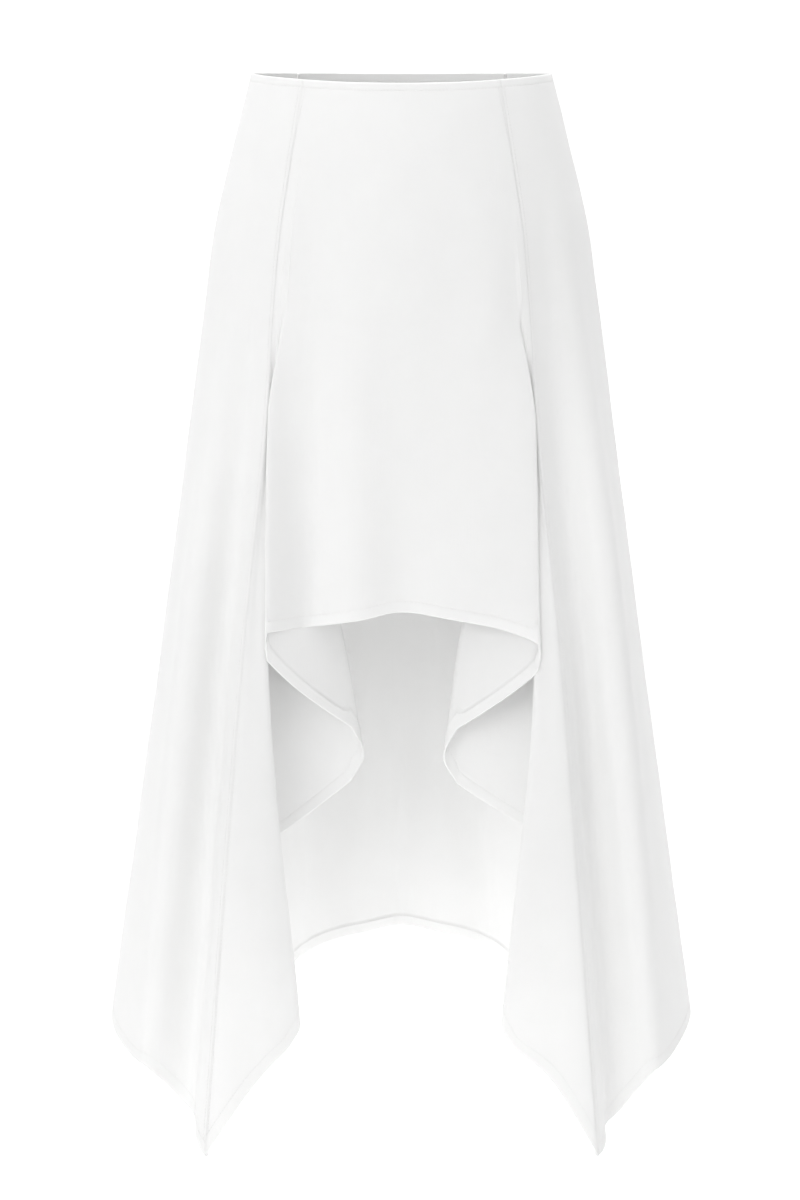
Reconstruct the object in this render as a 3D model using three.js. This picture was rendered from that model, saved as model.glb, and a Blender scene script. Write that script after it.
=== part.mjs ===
// Handkerchief-hem midi skirt, in its worn, filled-out form.
// Millimetres, +Z up, front towards -Y, the wearer's left towards +X.
// The origin is the middle of the waist opening, level with the waist edge at the sides.
import * as THREE from "three";

// Driving sizes
const CLOTH = 1.5;
const SEAM_GAP = 0.3;
const WAIST_DIP = 4.5;
const FOLD_START = -290;
const KNEE_LEVEL = -480;
const TURN_SPREAD = 0.35;
const COLUMN_STEP = 16;
const ROWS = 20;
const SLOPE_STEP = 0.5;
const CLOTH_FINISH = { color: 0xf4f3f1, roughness: 0.82, metalness: 0 };

// Sections over the hips: level, half width, depth before and behind the side line,
// and the share of each fold's sinking that is reached there
const HIP_SECTIONS = [
  { z: 0, halfWidth: 129, front: 92, back: 92, sunk: 0 },
  { z: -65, halfWidth: 145.5, front: 102, back: 107, sunk: 0 },
  { z: -130, halfWidth: 161, front: 110, back: 119, sunk: 0.6 },
  { z: -195, halfWidth: 170, front: 115, back: 127, sunk: 1 },
];

// Fold lines of one half, from the centre front round to the centre back.
// Angle is taken round the hips, sunk is how far the line dips at hip level,
// and the places are outward from the centre plane, front to back, and up.
const FOLD_COLUMNS = ["name", "angle", "sunk", "kneeX", "kneeY", "hemX", "hemY", "hemZ"];
const FOLDS = table(FOLD_COLUMNS, [
  ["centre_front", 0, 0, 0, -117.5, 0, -117.5, -451],
  ["front_swell", 15, 0, 36, -127, 36, -127, -457],
  ["front_hollow", 27, 6, 78, -108, 78, -108, -465],
  ["front_ridge", 35.2, 0, 115.7, -130.5, 115.7, -130.5, -479],
  ["inner_turn", 36.4, 0, 50, -82, 33, -72, -582],
  ["hidden_turn", 37.5, 0, 129, -84, 148, -96, -680],
  ["drape_edge", 38.5, 0, 115.5, -119.5, 87, -140, -805],
  ["drape_front", 39.1, 0, 124, -123.5, 121, -160, -847],
  ["front_seam", 39.6, 0, 134, -125.5, 168, -164, -914],
  ["side_hollow", 49, 3.5, 154, -98, 188, -117, -881],
  ["side_swell", 61, 0, 182, -110, 222, -128, -843],
  ["side", 90, 0, 208, 4, 258, 4, -828],
  ["back_swell", 115, 0, 188, 84, 232, 96, -852],
  ["back_hollow", 127, 0, 158, 112, 196, 120, -888],
  ["back_seam", 135, 0, 138, 134, 182, 160, -930],
  ["back_flute_hollow", 146, 0, 108, 132, 138, 154, -872],
  ["back_flute", 160, 0, 68, 155, 92, 190, -822],
  ["back_dip", 171, 0, 30, 147, 40, 178, -799],
  ["centre_back", 180, 0, 0, 152, 0, 190, -794],
]);

// Where the front ridge, the inner turn and the seam stand at FOLD_START, and how round they are
const START_COLUMNS = ["name", "x", "y", "radius"];
const STARTS = table(START_COLUMNS, [
  ["front_ridge", 113, -108.5, 3],
  ["inner_turn", 98, -94, 3.5],
  ["front_seam", 114.5, -102, 0],
]);

// Folds where the cloth turns back on itself: the turn's radius at knee level and at the hem,
// how far the hem falls on each half of the turn, where its tip points, measured from outward
// towards the back, and 1 or -1 for the side that it turns to
const TURN_COLUMNS = ["name", "kneeRadius", "hemRadius", "fall", "heading", "side"];
const TURNS = table(TURN_COLUMNS, [
  ["front_ridge", 5, 5, 8, -10, 1],
  ["inner_turn", 11, 11, 26, 180, -1],
  ["hidden_turn", 6, 8, 10, 10, -1],
  ["drape_edge", 3, 9, 17, 180, 1],
]);

// The wearer's left half hangs a little differently: how far the fold's end lies from the table
const LEFT_SHIFT_COLUMNS = ["name", "x", "y", "z", "sunk"];
const LEFT_SHIFTS = table(LEFT_SHIFT_COLUMNS, [
  ["front_swell", 6, 1, 0, 0],
  ["front_hollow", 6, -10, 0, -6],
  ["front_ridge", 1.4, 0, -9, 0],
  ["inner_turn", 4, 0, -2, 0],
  ["hidden_turn", 0, 0, 10, 0],
  ["drape_edge", -1, 0, 0, 0],
  ["drape_front", 3, 0, 3, 0],
  ["side_hollow", -4, 0, -12, 0],
  ["side_swell", -4, 0, -5, 0],
  ["side", -1, 0, 0, 0],
]);

// These lie on a straight stretch between the inner turn and the seam down to FOLD_START
const LATE_FOLDS = ["hidden_turn", "drape_edge", "drape_front"];
const SEAM_LINES = ["front_seam", "back_seam"];
const RIGHT_SIDE = -1;
const LEFT_SIDE = 1;

// Panels as they are cut: from one seam to the next, seen from above, back to front by the right
const PANELS = [
  { name: "side_panel_right", from: ["back_seam", RIGHT_SIDE], to: ["front_seam", RIGHT_SIDE] },
  { name: "front_panel", from: ["front_seam", RIGHT_SIDE], to: ["front_seam", LEFT_SIDE] },
  { name: "side_panel_left", from: ["front_seam", LEFT_SIDE], to: ["back_seam", LEFT_SIDE] },
  { name: "back_panel", from: ["back_seam", LEFT_SIDE], to: ["back_seam", RIGHT_SIDE] },
];

function table(columns, rows) {
  return rows.map((row) => Object.fromEntries(columns.map((column, i) => [column, row[i]])));
}

function byName(rows, name) {
  return rows.find((row) => row.name === name);
}

// A smooth curve with no overshoot through stations that fall in z, straight beyond its ends
function alongStations(stations, z) {
  const last = stations.length - 1;
  const steps = [];
  for (let i = 0; i < last; i += 1) {
    steps.push((stations[i + 1].value - stations[i].value) / (stations[i + 1].z - stations[i].z));
  }
  const slopeAt = (i) => {
    if (i === 0) return steps[0];
    if (i === last) return steps[last - 1];
    const above = steps[i - 1];
    const below = steps[i];
    if (above * below <= 0) return 0;
    const reachAbove = stations[i - 1].z - stations[i].z;
    const reachBelow = stations[i].z - stations[i + 1].z;
    const weightAbove = 2 * reachBelow + reachAbove;
    const weightBelow = reachBelow + 2 * reachAbove;
    return (weightAbove + weightBelow) / (weightAbove / above + weightBelow / below);
  };
  if (z >= stations[0].z) return stations[0].value + steps[0] * (z - stations[0].z);
  if (z <= stations[last].z) return stations[last].value + steps[last - 1] * (z - stations[last].z);
  const i = stations.findIndex((station, k) => k < last && z >= stations[k + 1].z);
  const span = stations[i + 1].z - stations[i].z;
  const t = (z - stations[i].z) / span;
  return hermite(stations[i].value, slopeAt(i) * span, stations[i + 1].value, slopeAt(i + 1) * span, t);
}

function hermite(start, startSlope, end, endSlope, t) {
  const rest = 1 - t;
  return (
    (1 + 2 * t) * rest * rest * start +
    t * rest * rest * startSlope +
    t * t * (3 - 2 * t) * end -
    t * t * rest * endSlope
  );
}

// One line of a fold, or three side by side where the cloth turns
function linesOfFold(fold, side) {
  const turn = byName(TURNS, fold.name);
  const start = byName(STARTS, fold.name);
  const ownShift = side === LEFT_SIDE && byName(LEFT_SHIFTS, fold.name);
  const shift = ownShift || { x: 0, y: 0, z: 0, sunk: 0 };
  const endsAtHem = fold.hemZ < KNEE_LEVEL;
  const places = turn ? [-1, 0, 1] : [0];
  return places.map((place) => {
    const angle = THREE.MathUtils.degToRad(fold.angle + place * TURN_SPREAD);
    const x = [];
    const y = [];
    for (const section of HIP_SECTIONS) {
      const depth = Math.cos(angle) > 0 ? section.front : section.back;
      const sunk = section.sunk * (fold.sunk + shift.sunk);
      x.push({ z: section.z, value: (section.halfWidth - sunk) * Math.sin(angle) });
      y.push({ z: section.z, value: (sunk - depth) * Math.cos(angle) });
    }
    if (start) {
      const off = offTip(turn, place, start.radius);
      x.push({ z: FOLD_START, value: start.x + off.x });
      y.push({ z: FOLD_START, value: start.y + off.y });
    }
    const knee = offTip(turn, place, turn ? turn.kneeRadius : 0);
    const hem = offTip(turn, place, turn ? turn.hemRadius : 0);
    const hemZ = fold.hemZ + shift.z - place * (turn ? turn.fall : 0);
    const kneeShift = endsAtHem ? 0 : 1;
    x.push({ z: KNEE_LEVEL, value: fold.kneeX + knee.x + kneeShift * shift.x });
    y.push({ z: KNEE_LEVEL, value: fold.kneeY + knee.y + kneeShift * shift.y });
    if (endsAtHem) {
      x.push({ z: hemZ, value: fold.hemX + hem.x + shift.x });
      y.push({ z: hemZ, value: fold.hemY + hem.y + shift.y });
    }
    return { name: fold.name, place, side, angle, x, y, hemZ };
  });
}

// From a turn's tip to the line at this place on it
function offTip(turn, place, radius) {
  if (!turn) return { x: 0, y: 0 };
  const heading = THREE.MathUtils.degToRad(turn.heading);
  const ahead = { x: Math.cos(heading), y: Math.sin(heading) };
  const aside = { x: -ahead.y * turn.side, y: ahead.x * turn.side };
  const back = Math.abs(place);
  return {
    x: radius * (place * aside.x - back * ahead.x),
    y: radius * (place * aside.y - back * ahead.y),
  };
}

function linesOfHalf(side) {
  const lines = FOLDS.flatMap((fold) => linesOfFold(fold, side));
  const turn = lines.find((line) => line.name === "inner_turn" && line.place === 1);
  const seam = byName(lines, "front_seam");
  for (const line of lines.filter((one) => LATE_FOLDS.includes(one.name))) {
    const share = (line.angle - turn.angle) / (seam.angle - turn.angle);
    for (const axis of ["x", "y"]) {
      const near = alongStations(turn[axis], FOLD_START);
      const far = alongStations(seam[axis], FOLD_START);
      line[axis].splice(HIP_SECTIONS.length, 0, { z: FOLD_START, value: near + (far - near) * share });
    }
  }
  return lines;
}

// All the lines in turn: centre back, the right side, centre front, the left side
const LOOP = [...linesOfHalf(RIGHT_SIDE).reverse(), ...linesOfHalf(LEFT_SIDE).slice(1, -1)];

function lineAt(i) {
  return LOOP[((i % LOOP.length) + LOOP.length) % LOOP.length];
}

function linePoint(i, z) {
  const line = lineAt(i);
  return new THREE.Vector2(line.side * alongStations(line.x, z), alongStations(line.y, z));
}

// The section at a level: a round curve through every line there
function sectionPoint(u, z) {
  const i = Math.floor(u);
  const points = [-1, 0, 1, 2].map((k) => linePoint(i + k, z));
  const knots = [0, 1, 2].map((k) => Math.sqrt(points[k].distanceTo(points[k + 1])));
  const along = (axis) => {
    const p = points.map((point) => point[axis]);
    const middle = (p[2] - p[1]) / knots[1];
    const startSlope = (p[1] - p[0]) / knots[0] - (p[2] - p[0]) / (knots[0] + knots[1]) + middle;
    const endSlope = middle - (p[3] - p[1]) / (knots[1] + knots[2]) + (p[3] - p[2]) / knots[2];
    return hermite(p[1], startSlope * knots[1], p[2], endSlope * knots[1], u - i);
  };
  return new THREE.Vector2(along("x"), along("y"));
}

// A value that each line has, run smoothly from line to line, with a corner at each seam
function betweenLines(valueOf, u) {
  const i = Math.floor(u);
  const v = [-1, 0, 1, 2].map((k) => valueOf(lineAt(i + k)));
  const slope = (before, here, after) => {
    const rise = here - before;
    const next = after - here;
    return rise * next <= 0 ? 0 : (2 * rise * next) / (rise + next);
  };
  const straight = v[2] - v[1];
  const startSlope = isSeam(i) ? straight : slope(v[0], v[1], v[2]);
  const endSlope = isSeam(i + 1) ? straight : slope(v[1], v[2], v[3]);
  return hermite(v[1], startSlope, v[2], endSlope, u - i);
}

function isSeam(i) {
  return SEAM_LINES.includes(lineAt(i).name);
}

function levelAt(u, v) {
  const top = betweenLines((line) => -WAIST_DIP * Math.cos(line.angle) ** 2, u);
  const hem = betweenLines((line) => line.hemZ, u);
  return top + (hem - top) * v;
}

// The cloth's middle, its way along the section and its outward direction
function clothAt(u, v) {
  const z = levelAt(u, v);
  const here = sectionPoint(u, z);
  const reach = 1e-3;
  const along = sectionPoint(u + reach, z).sub(sectionPoint(u - reach, z)).normalize();
  const above = sectionPoint(u, z + SLOPE_STEP);
  const below = sectionPoint(u, z - SLOPE_STEP);
  const lean = above.sub(below).divideScalar(2 * SLOPE_STEP);
  const outward = new THREE.Vector3(along.y, -along.x, along.x * lean.y - along.y * lean.x).normalize();
  return { point: new THREE.Vector3(here.x, here.y, z), along: new THREE.Vector3(along.x, along.y, 0), outward };
}

function indexOfLine([name, side]) {
  return LOOP.findIndex((line) => line.name === name && line.side === side && line.place === 0);
}

// Columns of a panel: more of them where the cloth between two lines is wide
function panelColumns(first, last) {
  const columns = [];
  for (let i = first; i < last; i += 1) {
    const z = levelAt(i + 0.5, 1);
    const width = linePoint(i, z).distanceTo(linePoint(i + 1, z));
    const count = Math.max(2, Math.round(width / COLUMN_STEP));
    for (let k = 0; k < count; k += 1) {
      columns.push(i + k / count);
    }
  }
  columns.push(last);
  return columns;
}

// A panel is a closed wall: an outer and an inner face, joined round all four edges
function panelGeometry(panel) {
  const first = indexOfLine(panel.from);
  const end = indexOfLine(panel.to);
  const last = end > first ? end : end + LOOP.length;
  const columns = panelColumns(first, last);
  const rowSize = columns.length;
  const positions = [];
  for (const face of [0.5, -0.5]) {
    for (let row = 0; row <= ROWS; row += 1) {
      columns.forEach((u, k) => {
        const cloth = clothAt(u, row / ROWS);
        const trim = k === 0 ? SEAM_GAP / 2 : k === rowSize - 1 ? -SEAM_GAP / 2 : 0;
        cloth.point.addScaledVector(cloth.along, trim).addScaledVector(cloth.outward, face * CLOTH);
        positions.push(cloth.point.x, cloth.point.y, cloth.point.z);
      });
    }
  }
  const innerStart = (ROWS + 1) * rowSize;
  const outer = (row, k) => row * rowSize + k;
  const inner = (row, k) => innerStart + outer(row, k);
  const faces = [];
  const quad = (a, b, c, d) => faces.push(a, b, c, a, c, d);
  for (let row = 0; row < ROWS; row += 1) {
    for (let k = 0; k < rowSize - 1; k += 1) {
      quad(outer(row, k), outer(row + 1, k), outer(row + 1, k + 1), outer(row, k + 1));
      quad(inner(row, k), inner(row, k + 1), inner(row + 1, k + 1), inner(row + 1, k));
    }
    quad(outer(row, 0), inner(row, 0), inner(row + 1, 0), outer(row + 1, 0));
    const edge = rowSize - 1;
    quad(outer(row, edge), outer(row + 1, edge), inner(row + 1, edge), inner(row, edge));
  }
  for (let k = 0; k < rowSize - 1; k += 1) {
    quad(outer(0, k), outer(0, k + 1), inner(0, k + 1), inner(0, k));
    quad(outer(ROWS, k), inner(ROWS, k), inner(ROWS, k + 1), outer(ROWS, k + 1));
  }
  const geometry = new THREE.BufferGeometry();
  geometry.setAttribute("position", new THREE.Float32BufferAttribute(positions, 3));
  geometry.setIndex(faces);
  return geometry;
}

const skirt = new THREE.Group();
for (const panel of PANELS) {
  const mesh = new THREE.Mesh(panelGeometry(panel), new THREE.MeshStandardMaterial(CLOTH_FINISH));
  mesh.name = panel.name;
  skirt.add(mesh);
}

export default skirt;
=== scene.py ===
import math
import bpy
import numpy as np
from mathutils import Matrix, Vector


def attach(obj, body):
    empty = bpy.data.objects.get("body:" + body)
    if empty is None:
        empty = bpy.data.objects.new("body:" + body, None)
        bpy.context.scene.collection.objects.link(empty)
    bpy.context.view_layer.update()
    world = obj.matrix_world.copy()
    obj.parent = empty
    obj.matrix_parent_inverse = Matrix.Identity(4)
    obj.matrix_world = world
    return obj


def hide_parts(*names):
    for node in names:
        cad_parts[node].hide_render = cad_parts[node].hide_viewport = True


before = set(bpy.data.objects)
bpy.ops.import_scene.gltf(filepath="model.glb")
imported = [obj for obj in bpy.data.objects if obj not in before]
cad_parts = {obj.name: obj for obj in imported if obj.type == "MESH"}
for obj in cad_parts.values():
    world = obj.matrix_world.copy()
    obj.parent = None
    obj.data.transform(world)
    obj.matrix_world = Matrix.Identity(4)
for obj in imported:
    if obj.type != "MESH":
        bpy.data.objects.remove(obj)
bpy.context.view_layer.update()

MM = 0.001

# The hang of the skirt, in millimetres: close to the solids' fold lines, with the front folds held
# a little nearer to each other
FRONT_DIP = 6.2
BACK_DIP = 1.8
FOLD_START = -290
KNEE_LEVEL = -480
TURN_SPREAD = 0.35
RIGHT_SIDE = -1
LEFT_SIDE = 1

# Cloth and make
CLOTH = 1.2
HEM_TURN = 9.0
HEM_EXTRA = 0.45
STEEPEST_HEM = 2.4
SEAM_STITCH = 2.8
SEAM_ROLL = 0.35
STITCH_LENGTH = 2.6
STITCH_PITCH = 3.1
STITCH_THICKNESS = 0.36
STITCH_LIFT = 0.16
STITCH_AHEAD = 0.6
STITCH_FLATNESS = 0.7
SEAM_ROLL_REACH = 3
SEAM_DIP = 0.05
SEAM_DIP_REACH = 1.4
STITCH_DIP = 0.08
STITCH_DIP_WIDTH = 0.8
WAIST_STITCH_LEVEL = 6
WAIST_STITCH_DIP = 0.18
HEM_STITCH_DIP = 0.22
EDGE_ROUND = 0.45
COLUMN_STEP = 6.5
NEAR_SEAM = (0.7, 1.6, 3.0)
ROWS = 150

# The studio, in metres
FLOOR_LEVEL = -1.06
FLOOR_BENDS = (-9.0, -3.0, 1.6, 4.5)
BACKDROP = 9.0
BACKDROP_CURVE = 2.0
BACKDROP_BENDS = (4.0, 6.0)
CURVE_STEPS = 12
PAPER_HALF_WIDTH = 9


def table(columns, rows):
    return [dict(zip(columns.split(), row)) for row in rows]


def by_name(rows, name):
    return next((row for row in rows if row["name"] == name), None)


HIP_SECTIONS = table("z half_width front back sunk", [
    (0, 129, 92, 92, 0),
    (-65, 145.5, 102, 107, 0),
    (-130, 161, 110, 119, 0.6),
    (-195, 170, 115, 127, 1),
])

FOLDS = table("name angle sunk knee_x knee_y hem_x hem_y hem_z", [
    ("centre_front", 0, 0, 0, -117.5, 0, -117.5, -451),
    ("front_swell", 15, 0, 36, -127, 36, -127, -457),
    ("front_hollow", 27, 6, 78, -108, 78, -108, -465),
    ("front_ridge", 35.2, 0, 115.7, -129.4, 115.7, -129.4, -479),
    ("inner_turn", 36.4, 0, 50, -82, 33, -72, -582),
    ("hidden_turn", 37.5, 0, 129, -84, 148, -96, -680),
    ("drape_edge", 38.5, 0, 113.4, -124, 87, -140, -805),
    ("drape_front", 39.1, 0, 124, -126.5, 121, -160, -847),
    ("front_seam", 39.6, 0, 134, -127, 168, -164, -914),
    ("side_hollow", 49, 3.5, 154, -98, 188, -117, -881),
    ("side_swell", 61, 0, 182, -110, 222, -128, -843),
    ("side", 90, 0, 208, 4, 258, 4, -828),
    ("back_swell", 115, 0, 188, 84, 232, 96, -852),
    ("back_hollow", 127, 0, 158, 112, 196, 120, -888),
    ("back_seam", 135, 0, 138, 134, 182, 160, -930),
    ("back_flute_hollow", 146, 0, 108, 132, 138, 154, -872),
    ("back_flute", 160, 0, 68, 155, 92, 190, -822),
    ("back_dip", 171, 0, 30, 147, 40, 178, -799),
    ("centre_back", 180, 0, 0, 152, 0, 190, -794),
])

FOLD_STARTS = table("name x y radius", [
    ("front_ridge", 113, -106.5, 1.7),
    ("inner_turn", 99, -95, 2.5),
    ("front_seam", 114.5, -102.5, 0),
])

TURNS = table("name knee_radius hem_radius fall heading side", [
    ("front_ridge", 1.8, 1.8, 12, -10, 1),
    ("inner_turn", 11, 11, 26, 180, -1),
    ("hidden_turn", 6, 8, 10, 10, -1),
    ("drape_edge", 1.8, 9, 17, 180, 1),
])

LEFT_SHIFTS = table("name x y z sunk", [
    ("front_swell", 6, 6, 0, 2),
    ("front_hollow", 6, -14, 0, -8),
    ("front_ridge", 1.4, -0.7, -9, 0),
    ("inner_turn", 4, 0, -2, 0),
    ("hidden_turn", 0, 0, 10, 0),
    ("drape_edge", -1, 0, 0, 0),
    ("drape_front", 3, 0, 3, 0),
    ("side_hollow", -4, 0, -12, 0),
    ("side_swell", -4, 0, -5, 0),
    ("side", -1, 0, 0, 0),
])

LATE_FOLDS = ("hidden_turn", "drape_edge", "drape_front")
SEAM_LINES = ("front_seam", "back_seam")

# Each panel from seam to seam, with its flat cut: width, length and area in metres
PANELS = table("name start start_side end end_side width length area", [
    ("side_panel_right", "back_seam", RIGHT_SIDE, "front_seam", RIGHT_SIDE, 0.47, 0.93, 0.263),
    ("front_panel", "front_seam", RIGHT_SIDE, "front_seam", LEFT_SIDE, 0.97, 0.83, 0.264),
    ("side_panel_left", "front_seam", LEFT_SIDE, "back_seam", LEFT_SIDE, 0.47, 0.93, 0.263),
    ("back_panel", "back_seam", LEFT_SIDE, "back_seam", RIGHT_SIDE, 0.5, 0.93, 0.243),
])


def slopes_through(z, value):
    """Slopes of a smooth curve with no overshoot through stations that fall in z."""
    step = np.diff(value) / np.diff(z)
    reach = -np.diff(z)
    slopes = np.zeros(len(value))
    slopes[0], slopes[-1] = step[0], step[-1]
    for i in range(1, len(value) - 1):
        above, below = step[i - 1], step[i]
        if above * below > 0:
            weight_above = 2 * reach[i] + reach[i - 1]
            weight_below = reach[i] + 2 * reach[i - 1]
            slopes[i] = (weight_above + weight_below) / (weight_above / above + weight_below / below)
    return slopes


def hermite(start, start_slope, end, end_slope, t):
    rest = 1 - t
    return ((1 + 2 * t) * rest * rest * start + t * rest * rest * start_slope
            + t * t * (3 - 2 * t) * end - t * t * rest * end_slope)


class Stations:
    """A measure that changes down the cloth, known at a few levels."""

    def __init__(self):
        self.z = []
        self.value = []

    def add(self, z, value):
        self.z.append(z)
        self.value.append(value)

    def slip_in(self, z, value):
        self.z.insert(len(HIP_SECTIONS), z)
        self.value.insert(len(HIP_SECTIONS), value)

    def at(self, z):
        levels = np.array(self.z, float)
        values = np.array(self.value, float)
        slopes = slopes_through(levels, values)
        z = np.asarray(z, float)
        i = np.clip(np.searchsorted(-levels, -z, side="right") - 1, 0, len(levels) - 2)
        span = levels[i + 1] - levels[i]
        t = (z - levels[i]) / span
        inside = hermite(values[i], slopes[i] * span, values[i + 1], slopes[i + 1] * span, t)
        above = values[0] + slopes[0] * (z - levels[0])
        below = values[-1] + slopes[-1] * (z - levels[-1])
        return np.where(z > levels[0], above, np.where(z < levels[-1], below, inside))


def off_tip(turn, place, radius):
    """From a turn's tip to the line at this place on it."""
    if turn is None:
        return 0.0, 0.0
    heading = math.radians(turn["heading"])
    ahead = (math.cos(heading), math.sin(heading))
    aside = (-ahead[1] * turn["side"], ahead[0] * turn["side"])
    back = abs(place)
    return radius * (place * aside[0] - back * ahead[0]), radius * (place * aside[1] - back * ahead[1])


def lines_of_fold(fold, side):
    """One line of a fold, or three side by side where the cloth turns."""
    turn = by_name(TURNS, fold["name"])
    start = by_name(FOLD_STARTS, fold["name"])
    own_shift = side == LEFT_SIDE and by_name(LEFT_SHIFTS, fold["name"])
    shift = own_shift or {"x": 0, "y": 0, "z": 0, "sunk": 0}
    ends_at_hem = fold["hem_z"] < KNEE_LEVEL
    made = []
    for place in (-1, 0, 1) if turn else (0,):
        angle = math.radians(fold["angle"] + place * TURN_SPREAD)
        x, y = Stations(), Stations()
        for section in HIP_SECTIONS:
            depth = section["front"] if math.cos(angle) > 0 else section["back"]
            sunk = section["sunk"] * (fold["sunk"] + shift["sunk"])
            x.add(section["z"], (section["half_width"] - sunk) * math.sin(angle))
            y.add(section["z"], (sunk - depth) * math.cos(angle))
        if start:
            off = off_tip(turn, place, start["radius"])
            x.add(FOLD_START, start["x"] + off[0])
            y.add(FOLD_START, start["y"] + off[1])
        knee = off_tip(turn, place, turn["knee_radius"] if turn else 0)
        hem = off_tip(turn, place, turn["hem_radius"] if turn else 0)
        hem_z = fold["hem_z"] + shift["z"] - place * (turn["fall"] if turn else 0)
        knee_shift = 0 if ends_at_hem else 1
        x.add(KNEE_LEVEL, fold["knee_x"] + knee[0] + knee_shift * shift["x"])
        y.add(KNEE_LEVEL, fold["knee_y"] + knee[1] + knee_shift * shift["y"])
        if ends_at_hem:
            x.add(hem_z, fold["hem_x"] + hem[0] + shift["x"])
            y.add(hem_z, fold["hem_y"] + hem[1] + shift["y"])
        made.append({"name": fold["name"], "place": place, "side": side, "angle": angle,
                     "x": x, "y": y, "hem_z": hem_z})
    return made


def lines_of_half(side):
    lines = [line for fold in FOLDS for line in lines_of_fold(fold, side)]
    turn = next(line for line in lines if line["name"] == "inner_turn" and line["place"] == 1)
    seam = by_name(lines, "front_seam")
    for line in lines:
        if line["name"] in LATE_FOLDS:
            share = (line["angle"] - turn["angle"]) / (seam["angle"] - turn["angle"])
            for axis in ("x", "y"):
                near = float(turn[axis].at(FOLD_START))
                far = float(seam[axis].at(FOLD_START))
                line[axis].slip_in(FOLD_START, near + (far - near) * share)
    return lines


LOOP = lines_of_half(RIGHT_SIDE)[::-1] + lines_of_half(LEFT_SIDE)[1:-1]


def line_points(i, z):
    line = LOOP[i % len(LOOP)]
    return np.stack([line["side"] * line["x"].at(z), line["y"].at(z)], axis=-1)


def section_points(u, z):
    """Places on the sections at levels z: a round curve through every line there."""
    i = math.floor(u)
    p = [line_points(i + k, z) for k in (-1, 0, 1, 2)]
    knots = [np.sqrt(np.linalg.norm(p[k + 1] - p[k], axis=-1))[:, None] for k in range(3)]
    middle = (p[2] - p[1]) / knots[1]
    start_slope = (p[1] - p[0]) / knots[0] - (p[2] - p[0]) / (knots[0] + knots[1]) + middle
    end_slope = middle - (p[3] - p[1]) / (knots[1] + knots[2]) + (p[3] - p[2]) / knots[2]
    return hermite(p[1], start_slope * knots[1], p[2], end_slope * knots[1], u - i)


def is_seam(i):
    return LOOP[i % len(LOOP)]["name"] in SEAM_LINES


def between_lines(value_of, u):
    """A value that each line has, run smoothly from line to line, with a corner at each seam."""
    i = math.floor(u)
    v = [value_of(LOOP[(i + k) % len(LOOP)]) for k in (-1, 0, 1, 2)]

    def slope(before, here, after):
        rise, onward = here - before, after - here
        return 0 if rise * onward <= 0 else 2 * rise * onward / (rise + onward)

    straight = v[2] - v[1]
    start_slope = straight if is_seam(i) else slope(v[0], v[1], v[2])
    end_slope = straight if is_seam(i + 1) else slope(v[1], v[2], v[3])
    return hermite(v[1], start_slope, v[2], end_slope, u - i)


def waist_dip(line):
    dip = FRONT_DIP if math.cos(line["angle"]) > 0 else BACK_DIP
    return -dip * math.cos(line["angle"]) ** 2


def waist_level(u):
    return between_lines(waist_dip, u)


def hem_level(u):
    return between_lines(lambda line: line["hem_z"], u)


def index_of(name, side):
    return next(i for i, line in enumerate(LOOP) if line["name"] == name and line["side"] == side
                and line["place"] == 0)


def panel_columns(panel):
    """Columns of a panel, closer together beside its two seams."""
    first = index_of(panel["start"], panel["start_side"])
    last = index_of(panel["end"], panel["end_side"])
    if last <= first:
        last += len(LOOP)
    columns = [first]
    for i in range(first, last):
        z = np.array([hem_level(i + 0.5)])
        width = float(np.linalg.norm(line_points(i, z) - line_points(i + 1, z)))
        count = max(6, round(width / COLUMN_STEP))
        inside = [i + k / count for k in range(1, count)]
        near = [d / width for d in NEAR_SEAM]
        if i == first:
            inside = [i + d for d in near] + inside
        if i == last - 1:
            inside = inside + [i + 1 - d for d in near[::-1]]
        columns += sorted(inside) + [i + 1]
    return columns


# Rows of the cloth's mesh near its two free edges, in millimetres from the edge
HEM_ROWS = (0, 0.9, 2.2, 4, 6, 7.9, 9, 10.1, 12.5, 16)
WAIST_ROWS = (0, 0.8, 2.2, 4, 5.4, 6, 6.6, 8.5, 12)


def hem_reach(columns):
    """How far down the cloth one millimetre square to the hem edge is, at each column."""
    reach = 1e-3
    found = []
    for n, u in enumerate(columns):
        low = u - reach if n else u
        high = u + reach if n < len(columns) - 1 else u
        z = np.array([hem_level(u)])
        run = float(np.linalg.norm(section_points(high - 1e-9, z) - section_points(low + 1e-9, z)))
        rise = hem_level(high - 1e-9) - hem_level(low + 1e-9)
        found.append(math.hypot(1, rise / max(run, 1e-9)))
    return np.array(found)


def cloth_grid(columns):
    """The cloth's middle at every row and column, in millimetres."""
    reach = np.clip(hem_reach(columns), 1, STEEPEST_HEM)
    rows = []
    for n, u in enumerate(columns):
        top, hem = waist_level(u), hem_level(u)
        from_hem = [d * reach[n] for d in HEM_ROWS]
        low = hem + from_hem[-1]
        high = top - WAIST_ROWS[-1]
        spread = np.linspace(0, 1, ROWS + 2)[1:-1]
        levels = [top - d for d in WAIST_ROWS] + list(high + (low - high) * spread)
        levels += [hem + d for d in from_hem[::-1]]
        z = np.array(levels)
        rows.append(np.column_stack([section_points(u, z), z]))
    return np.array(rows).transpose(1, 0, 2)


def unit(v):
    return v / np.maximum(np.linalg.norm(v, axis=-1, keepdims=True), 1e-12)


def directions(grid):
    """Along each row and outward, at every point."""
    along = unit(np.gradient(grid, axis=1))
    down = unit(np.gradient(grid, axis=0))
    return along, unit(np.cross(down, along))


def row_lengths(grid):
    """Distance along each row from its first point."""
    step = np.linalg.norm(np.diff(grid, axis=1), axis=-1)
    return np.concatenate([np.zeros((len(grid), 1)), np.cumsum(step, axis=1)], axis=1)


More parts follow.
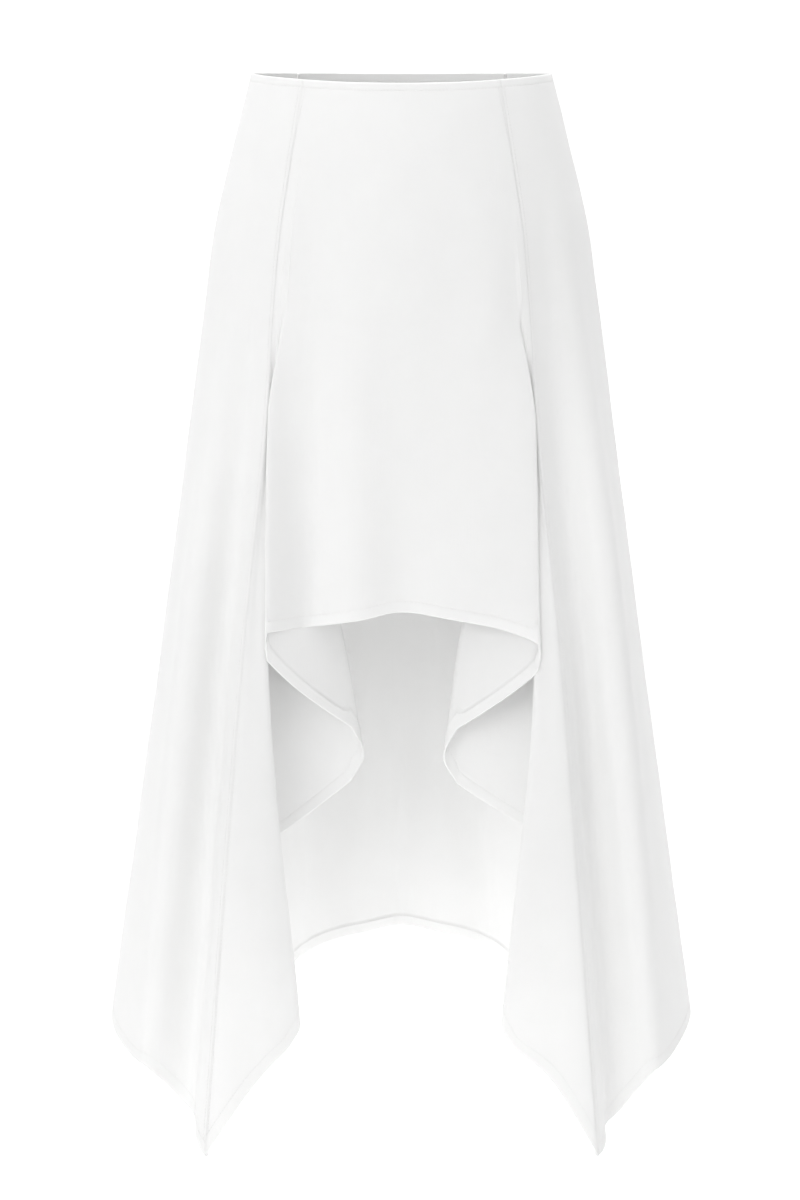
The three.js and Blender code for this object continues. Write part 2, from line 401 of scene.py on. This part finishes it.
# Small creases that the cloth keeps: where they start and end, as line names with the share of the
# way to the next line and the level, their width and depth in millimetres
CREASES = table("name side share top bottom drift width depth", [
    ("front_swell", RIGHT_SIDE, 0.1, -70, -1000, 0, 20, 2.0),
    ("front_hollow", RIGHT_SIDE, -0.1, -60, -1000, 0, 17, -1.8),
    ("side_hollow", RIGHT_SIDE, 0.15, -160, -1300, 0.15, 15, -4.5),
    ("side_swell", RIGHT_SIDE, 0.1, -90, -900, 0, 21, 5.5),
    ("side_hollow", LEFT_SIDE, -0.3, -140, -1300, 0.1, 13, -4.5),
    ("side_swell", LEFT_SIDE, -0.15, -70, -900, 0.1, 20, 7),
    ("side", RIGHT_SIDE, -0.3, -380, -1400, 0.1, 18, -3),
    ("centre_front", RIGHT_SIDE, 0.1, -60, -330, -0.35, 11, -0.8),
    ("front_swell", LEFT_SIDE, 0.5, -140, -420, 0.3, 13, 1),
    ("front_hollow", LEFT_SIDE, 0.2, -30, -170, -0.3, 8, -0.6),
    ("side", LEFT_SIDE, 0.3, -200, -900, 0.2, 16, 2.2),
    ("side", RIGHT_SIDE, 0.6, -90, -700, -0.3, 15, 1.8),
    ("back_swell", RIGHT_SIDE, 0.4, -260, -1100, 0.2, 17, 2.4),
    ("back_swell", LEFT_SIDE, 0.2, -120, -900, 0.4, 15, -2.2),
    ("back_flute", RIGHT_SIDE, 0.3, -80, -800, 0.3, 16, 1.9),
    ("back_flute_hollow", LEFT_SIDE, 0.5, -160, -900, -0.2, 15, -2.2),
    ("back_dip", LEFT_SIDE, 0.4, -40, -360, 0.3, 10, -0.8),
    ("centre_back", RIGHT_SIDE, 0.3, -300, -1000, -0.4, 14, 1.2),
])


# Slight unevenness of the cloth: waves in x and in y that slant with z, in radians a millimetre
WAVES = table("depth x x_z x_start y y_z y_start", [
    (0.35, 0.043, 0.021, 1.3, 0.051, -0.017, 0.4),
    (0.18, 0.101, -0.034, 2.1, 0.093, 0.057, 0),
])


def crease_depth(columns, grid):
    """How far the creases and the cloth's slight unevenness move each point outward."""
    lengths = row_lengths(grid)
    x, y, z = grid[:, :, 0], grid[:, :, 1], grid[:, :, 2]
    moved = np.zeros(x.shape)
    for wave in WAVES:
        along_x = np.sin(x * wave["x"] + z * wave["x_z"] + wave["x_start"])
        along_y = np.sin(y * wave["y"] + z * wave["y_z"] + wave["y_start"])
        moved += wave["depth"] * along_x * along_y
    for crease in CREASES:
        way = np.clip((z - crease["top"]) / (crease["bottom"] - crease["top"]), 0, 1)
        middle = index_of(crease["name"], crease["side"]) + crease["share"] + crease["drift"] * way
        if columns[-1] >= len(LOOP) and middle.max() < columns[0]:
            middle = middle + len(LOOP)
        if middle.min() < columns[0] or middle.max() > columns[-1]:
            continue
        at = np.stack([np.interp(u, columns, length) for u, length in zip(middle, lengths)])
        spread = np.exp(-(((lengths - at) / crease["width"]) ** 2))
        moved += crease["depth"] * 4 * way * (1 - way) * spread
    return moved


def finished_cloth(columns):
    """The panel's middle with its creases, rolled seam edges and the dips of its stitch lines."""
    grid = cloth_grid(columns)
    along, outward = directions(grid)
    start = row_lengths(grid)
    end = start[:, -1:] - start
    grid = grid + outward * crease_depth(columns, grid)[..., None]
    roll = SEAM_ROLL * (np.exp(-start / SEAM_ROLL_REACH) - np.exp(-end / SEAM_ROLL_REACH))
    grid = grid + along * roll[..., None]
    depth = -SEAM_DIP * (np.exp(-start / SEAM_DIP_REACH) + np.exp(-end / SEAM_DIP_REACH))
    for side in (start, end):
        depth = depth - STITCH_DIP * np.exp(-(((side - SEAM_STITCH) / STITCH_DIP_WIDTH) ** 2))
    grid = grid + outward * depth[..., None]
    dips = np.zeros(len(grid))
    dips[WAIST_ROWS.index(WAIST_STITCH_LEVEL)] = -WAIST_STITCH_DIP
    dips[len(grid) - 1 - HEM_ROWS.index(HEM_TURN)] = -HEM_STITCH_DIP
    grid = grid + outward * dips[:, None, None]
    return grid


# The turned seam edge from its cut edge out to the cloth: how far past the seam and how deep in, in
# millimetres, and how much it still faces outward
SEAM_LIP = table("back deep facing", [
    (0.75, 3.2, 0.0),
    (0.78, 1.1, 0.15),
    (0.5, 0.35, 0.6),
])


def add_seam_lips(grid, along, outward):
    """The seam edges turn in and run back beside each other inside the skirt."""
    parts = []
    for column, way in ((0, 1), (-1, -1)):
        at, ahead, out = grid[:, column], along[:, column] * way, outward[:, column]
        lip = [at - ahead * place["back"] - out * place["deep"] for place in SEAM_LIP]
        parts.append(np.stack(lip, axis=1))
    return np.concatenate([parts[0], grid, parts[1][:, ::-1]], axis=1)


def lip_facing(along, outward):
    """Outward at every point of the cloth with its seam edges."""
    parts = []
    for column, way in ((0, -1), (-1, 1)):
        out, beyond = outward[:, column], along[:, column] * way
        lip = [unit(out * place["facing"] + beyond * (1 - place["facing"])) for place in SEAM_LIP]
        parts.append(np.stack(lip, axis=1))
    return np.concatenate([parts[0], outward, parts[1][:, ::-1]], axis=1)


def hem_thickness(rows, columns):
    """What the turned hem adds to the cloth's inner side; the seam edges stay single."""
    extra = np.zeros((rows, columns, 1))
    turned = sum(1 for distance in HEM_ROWS if distance <= HEM_TURN)
    lip = len(SEAM_LIP) + 1
    extra[rows - turned:, lip:-lip] = HEM_EXTRA
    return extra


def shell_mesh(name, grid, outward, inner_extra):
    """A thin closed wall: an outer and an inner face, with a rounded edge all the way round."""
    rows, columns = grid.shape[:2]
    outer = grid + outward * (CLOTH / 2)
    inner = grid - outward * (CLOTH / 2 + inner_extra)
    points = np.concatenate([outer.reshape(-1, 3), inner.reshape(-1, 3)])
    index = np.arange(rows * columns).reshape(rows, columns)
    a, b, c, d = index[:-1, :-1], index[1:, :-1], index[1:, 1:], index[:-1, 1:]
    faces = [np.stack([a, b, c, d], axis=-1).reshape(-1, 4)]
    back = index + rows * columns
    a, b, c, d = back[:-1, :-1], back[:-1, 1:], back[1:, 1:], back[1:, :-1]
    faces.append(np.stack([a, b, c, d], axis=-1).reshape(-1, 4))
    rim = np.concatenate([index[0, ::-1], index[1:, 0], index[-1, 1:], index[-2:0:-1, -1]])
    after = np.roll(rim, -1)
    size = rows * columns
    bulge = (points[rim] + points[rim + size]) / 2 + rim_direction(grid) * (CLOTH * EDGE_ROUND)
    start = len(points)
    points = np.concatenate([points, bulge])
    edge = start + np.arange(len(rim))
    edge_after = np.roll(edge, -1)
    faces.append(np.stack([rim, after, edge_after, edge], axis=-1)[:, ::-1])
    faces.append(np.stack([edge, edge_after, after + size, rim + size], axis=-1)[:, ::-1])
    return mesh_object(name, points, np.concatenate(faces))


def rim_direction(grid):
    """Away from the cloth at each point of its rim, in the rim's own order."""
    top = unit(grid[0] - grid[1])[::-1]
    left = unit(grid[1:, 0] - grid[1:, 1])
    bottom = unit(grid[-1] - grid[-2])[1:]
    right = unit(grid[:, -1] - grid[:, -2])[-2:0:-1]
    return np.concatenate([top, left, bottom, right])


def mesh_object(name, points, faces):
    mesh = bpy.data.meshes.new(name)
    mesh.from_pydata((points * MM).tolist(), [], faces.tolist())
    mesh.validate()
    mesh.shade_smooth()
    made = bpy.data.objects.new(name, mesh)
    bpy.context.scene.collection.objects.link(made)
    return made


# Along one stitch: the share of its length from the middle, and its thickness there
STITCH_RINGS = ((-0.5, 0.25), (-0.42, 0.8), (0, 1.0), (0.42, 0.8), (0.5, 0.25))
STITCH_SIDES = 6


def stitch_row(line, outward):
    """Vertices and faces of stitches laid end to end along a line on the cloth."""
    step = np.linalg.norm(np.diff(line, axis=0), axis=1)
    run = np.concatenate([[0], np.cumsum(step)])
    count = int(run[-1] / STITCH_PITCH)
    middles = (np.arange(count) + 0.5) * run[-1] / count

    def on_line(values, where):
        return np.stack([np.interp(where, run, values[:, k]) for k in range(3)], axis=1)

    centre = on_line(line, middles)
    ahead = unit(on_line(line, middles + STITCH_AHEAD) - on_line(line, middles - STITCH_AHEAD))
    out = unit(on_line(outward, middles))
    aside = unit(np.cross(ahead, out))
    points = []
    for share, size in STITCH_RINGS:
        for k in range(STITCH_SIDES):
            turn = 2 * math.pi * k / STITCH_SIDES
            radius = STITCH_THICKNESS / 2 * size
            lift = STITCH_LIFT - 0.5 * (share * 2) ** 2 * STITCH_THICKNESS
            points.append(centre + ahead * (share * STITCH_LENGTH) + aside * (radius * math.cos(turn))
                          + out * (radius * math.sin(turn) * STITCH_FLATNESS + lift))
    points = np.stack(points, axis=1)
    per = points.shape[1]
    faces = []
    for ring in range(len(STITCH_RINGS) - 1):
        for k in range(STITCH_SIDES):
            a, b = ring * STITCH_SIDES + k, ring * STITCH_SIDES + (k + 1) % STITCH_SIDES
            faces.append((a, b, b + STITCH_SIDES, a + STITCH_SIDES))
    faces = np.array(faces)[None] + (np.arange(count) * per)[:, None, None]
    return points.reshape(-1, 3), faces.reshape(-1, 4)


def joined(parts):
    """Several sets of vertices and faces as one."""
    points, faces, used = [], [], 0
    for these, quads in parts:
        points.append(these)
        faces.append(quads + used)
        used += len(these)
    return np.concatenate(points), np.concatenate(faces)


def line_from_edge(grid, lengths, distance):
    """The line that keeps this distance from the first edge of every row."""
    return np.stack([[np.interp(distance, lengths[r], grid[r, :, k]) for k in range(3)]
                     for r in range(len(grid))])


def sew_panel(panel):
    """One panel of cloth with its stitch lines."""
    columns = panel_columns(panel)
    grid = finished_cloth(columns)
    along, outward = directions(grid)
    dressed = add_seam_lips(grid, along, outward)
    extra = hem_thickness(len(dressed), dressed.shape[1])
    cloth = shell_mesh(panel["name"] + "_cloth", dressed, lip_facing(along, outward), extra)
    stitches = panel_stitches(grid, outward)
    thread = mesh_object(panel["name"] + "_stitches", *stitches)
    return cloth, thread


def panel_stitches(grid, outward):
    """Every stitch of a panel: waist and hem, outside and inside, and beside both seams."""
    waist_row = WAIST_ROWS.index(WAIST_STITCH_LEVEL)
    hem_row = len(grid) - 1 - HEM_ROWS.index(HEM_TURN)
    surface = grid + outward * (CLOTH / 2)
    inside = grid - outward * (CLOTH / 2 + HEM_EXTRA)
    waist_inside = grid - outward * (CLOTH / 2)
    parts = [
        stitch_row(surface[waist_row], outward[waist_row]),
        stitch_row(waist_inside[waist_row], -outward[waist_row]),
        stitch_row(surface[hem_row], outward[hem_row]),
        stitch_row(inside[hem_row], -outward[hem_row]),
    ]
    body = slice(waist_row, hem_row + 1)
    for flip in (False, True):
        laid = surface[body, ::-1] if flip else surface[body]
        facing = outward[body, ::-1] if flip else outward[body]
        along_seam = row_lengths(laid)
        line = line_from_edge(laid, along_seam, SEAM_STITCH)
        parts.append(stitch_row(line, line_from_edge(facing, along_seam, SEAM_STITCH)))
    return joined(parts)


class Socket:
    """A value in a material that Python's own signs can work on."""

    def __init__(self, finish, link):
        self.finish = finish
        self.link = link

    def _with(self, operation, a, b):
        return self.finish.node("ShaderNodeMath", {"operation": operation}, {0: a, 1: b})

    def __add__(self, other):
        return self._with("ADD", self, other)

    __radd__ = __add__

    def __mul__(self, other):
        return self._with("MULTIPLY", self, other)

    __rmul__ = __mul__


class Finish:
    """A material that is built up node by node."""

    def __init__(self, name):
        self.material = bpy.data.materials.new(name)
        self.material.use_nodes = True
        self.tree = self.material.node_tree
        self.tree.nodes.clear()

    def node(self, kind, settings=None, inputs=None, output=0):
        made = self.tree.nodes.new(kind)
        for setting, value in (settings or {}).items():
            setattr(made, setting, value)
        for socket, value in (inputs or {}).items():
            target = made.inputs[socket]
            if isinstance(value, Socket):
                self.tree.links.new(value.link, target)
            else:
                target.default_value = value
        return Socket(self, made.outputs[output]) if made.outputs else None


def crepe_finish():
    """Matt white crepe: a fine dry grain over the weave, and a soft sheen."""
    finish = Finish("white_crepe")
    place = finish.node("ShaderNodeTexCoord", output="Object")
    grain = finish.node("ShaderNodeTexNoise", {}, {"Vector": place, "Scale": 1500.0, "Detail": 3.0})
    pebble = finish.node("ShaderNodeTexVoronoi", {"feature": "F1"}, {"Vector": place, "Scale": 1100.0})
    warp = finish.node("ShaderNodeTexWave", {"wave_type": "BANDS", "bands_direction": "X"},
                       {"Vector": place, "Scale": 260.0, "Distortion": 1.2, "Detail": 1.0}, output=1)
    soft = finish.node("ShaderNodeTexNoise", {}, {"Vector": place, "Scale": 28.0, "Detail": 2.0})
    surface = 0.55 * grain + 0.3 * pebble + 0.15 * warp
    relief = finish.node("ShaderNodeBump", {}, {"Strength": 0.22, "Distance": 0.0006, "Height": surface})
    tone = finish.node("ShaderNodeMix", {"data_type": "RGBA"}, {
        0: 0.6 * soft + 0.4 * grain, 6: (0.885, 0.885, 0.88, 1), 7: (0.93, 0.93, 0.925, 1)}, output=2)
    cloth = finish.node("ShaderNodeBsdfPrincipled", {}, {
        "Base Color": tone, "Roughness": 0.78 + 0.12 * grain, "Normal": relief,
        "Sheen Weight": 0.2, "Sheen Roughness": 0.45, "IOR": 1.46, "Specular IOR Level": 0.25,
        "Subsurface Weight": 0.4, "Subsurface Radius": (1.0, 1.0, 1.0), "Subsurface Scale": 0.003})
    finish.node("ShaderNodeOutputMaterial", {}, {"Surface": cloth})
    return finish.material


def thread_finish():
    """White sewing thread, a little smoother than the cloth, with its twist."""
    finish = Finish("white_thread")
    place = finish.node("ShaderNodeTexCoord", output="Object")
    twist = finish.node("ShaderNodeTexWave", {"wave_type": "BANDS", "bands_direction": "DIAGONAL"},
                        {"Vector": place, "Scale": 900.0, "Distortion": 0.4}, output=1)
    relief = finish.node("ShaderNodeBump", {}, {"Strength": 0.3, "Distance": 0.0002, "Height": twist})
    tone = finish.node("ShaderNodeMix", {"data_type": "RGBA"}, {
        0: twist, 6: (0.82, 0.82, 0.815, 1), 7: (0.92, 0.92, 0.915, 1)}, output=2)
    thread = finish.node("ShaderNodeBsdfPrincipled", {}, {
        "Base Color": tone, "Roughness": 0.55 + 0.1 * twist, "Normal": relief, "Sheen Weight": 0.15})
    finish.node("ShaderNodeOutputMaterial", {}, {"Surface": thread})
    return finish.material


def studio_finish():
    """Plain pale studio paper with a painted glow: it gives off light of its own, more where it rises
    behind the skirt.
    """
    finish = Finish("pale_paper")
    place = finish.node("ShaderNodeTexCoord", output="Object")
    fibre = finish.node("ShaderNodeTexNoise", {}, {"Vector": place, "Scale": 300.0})
    relief = finish.node("ShaderNodeBump", {}, {"Strength": 0.05, "Distance": 0.0003, "Height": fibre})
    away = finish.node("ShaderNodeSeparateXYZ", {}, {"Vector": place}, output=1)
    behind = finish.node("ShaderNodeMapRange", {}, {"Value": away, "From Min": 1.0, "From Max": 5.0})
    # Painted glow: the paper emits light, weakest on the floor near the skirt and strongest on the
    # backdrop behind it
    painted_glow = finish.node("ShaderNodeMix", {"data_type": "RGBA"}, {
        0: behind, 6: (0.2, 0.2, 0.2, 1), 7: (0.5, 0.5, 0.5, 1)}, output=2)
    paper = finish.node("ShaderNodeBsdfPrincipled", {}, {
        "Base Color": (0.95, 0.95, 0.95, 1), "Roughness": 0.9, "Normal": relief,
        "Emission Color": painted_glow, "Emission Strength": 1.0})
    finish.node("ShaderNodeOutputMaterial", {}, {"Surface": paper})
    return finish.material


def lay_studio_paper():
    """Floor that curves up into the backdrop."""
    profile = [(y, 0.0) for y in FLOOR_BENDS + (BACKDROP - BACKDROP_CURVE,)]
    for k in range(1, CURVE_STEPS + 1):
        turn = math.pi / 2 * k / CURVE_STEPS
        profile.append((BACKDROP - BACKDROP_CURVE * (1 - math.sin(turn)),
                        BACKDROP_CURVE * (1 - math.cos(turn))))
    profile += [(BACKDROP, z) for z in BACKDROP_BENDS]
    across = np.linspace(-PAPER_HALF_WIDTH, PAPER_HALF_WIDTH, 2 * PAPER_HALF_WIDTH + 1)
    points = np.array([(x, y, FLOOR_LEVEL + z) for y, z in profile for x in across]) / MM
    index = np.arange(len(points)).reshape(len(profile), len(across))
    faces = np.stack([index[:-1, :-1], index[:-1, 1:], index[1:, 1:], index[1:, :-1]], axis=-1)
    paper = mesh_object("studio_paper", points, faces.reshape(-1, 4))
    paper.data.materials.append(studio_finish())


# Soft boxes: where each stands and aims, in metres, its size and its watts
SOFT_BOXES = table("name x y z aim_z width height watts", [
    ("left_key", -3.0, -2.0, 0.5, -0.5, 1.0, 1.8, 3),
    ("left_front", -1.6, -3.4, 0.8, -0.5, 1.6, 1.6, 27),
    ("high_front", 0.3, -2.8, 2.4, -0.5, 2.4, 1.0, 6),
    ("top", 0.0, 0.2, 2.4, -0.5, 2.4, 2.0, 60),
    ("under", 0.0, 0.0, -1.04, -0.5, 0.5, 0.4, 0.42),
])
ROOM_LIGHT = 0.51


def light_studio():
    for box in SOFT_BOXES:
        lamp = bpy.data.lights.new(box["name"], "AREA")
        lamp.shape = "RECTANGLE"
        lamp.size = box["width"]
        lamp.size_y = box["height"]
        lamp.energy = box["watts"]
        made = bpy.data.objects.new(box["name"], lamp)
        bpy.context.scene.collection.objects.link(made)
        made.location = (box["x"], box["y"], box["z"])
        way = Vector((0, 0, box["aim_z"])) - made.location
        made.rotation_mode = "QUATERNION"
        made.rotation_quaternion = way.to_track_quat("-Z", "Y")
    room = bpy.data.worlds.new("studio")
    room.use_nodes = True
    light = room.node_tree.nodes["Background"]
    light.inputs["Color"].default_value = (1, 1, 1, 1)
    light.inputs["Strength"].default_value = ROOM_LIGHT
    bpy.context.scene.world = room


def set_camera():
    lens = bpy.data.cameras.new("camera")
    lens.lens = 123.007
    lens.sensor_width = 36
    lens.clip_start = 0.1
    lens.clip_end = 60
    made = bpy.data.objects.new("camera", lens)
    bpy.context.scene.collection.objects.link(made)
    made.location = (-0.001317, -3.560457, 0.073798)
    made.rotation_euler = (math.radians(81.5), 0, 0)
    bpy.context.scene.camera = made


crepe = crepe_finish()
sewing_thread = thread_finish()
for panel in PANELS:
    cloth, thread = sew_panel(panel)
    cloth.data.materials.append(crepe)
    thread.data.materials.append(sewing_thread)
    for piece in (cloth, thread):
        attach(piece, "root")
    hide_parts(panel["name"])

lay_studio_paper()
light_studio()
set_camera()
bpy.context.scene.view_settings.view_transform = "Standard"
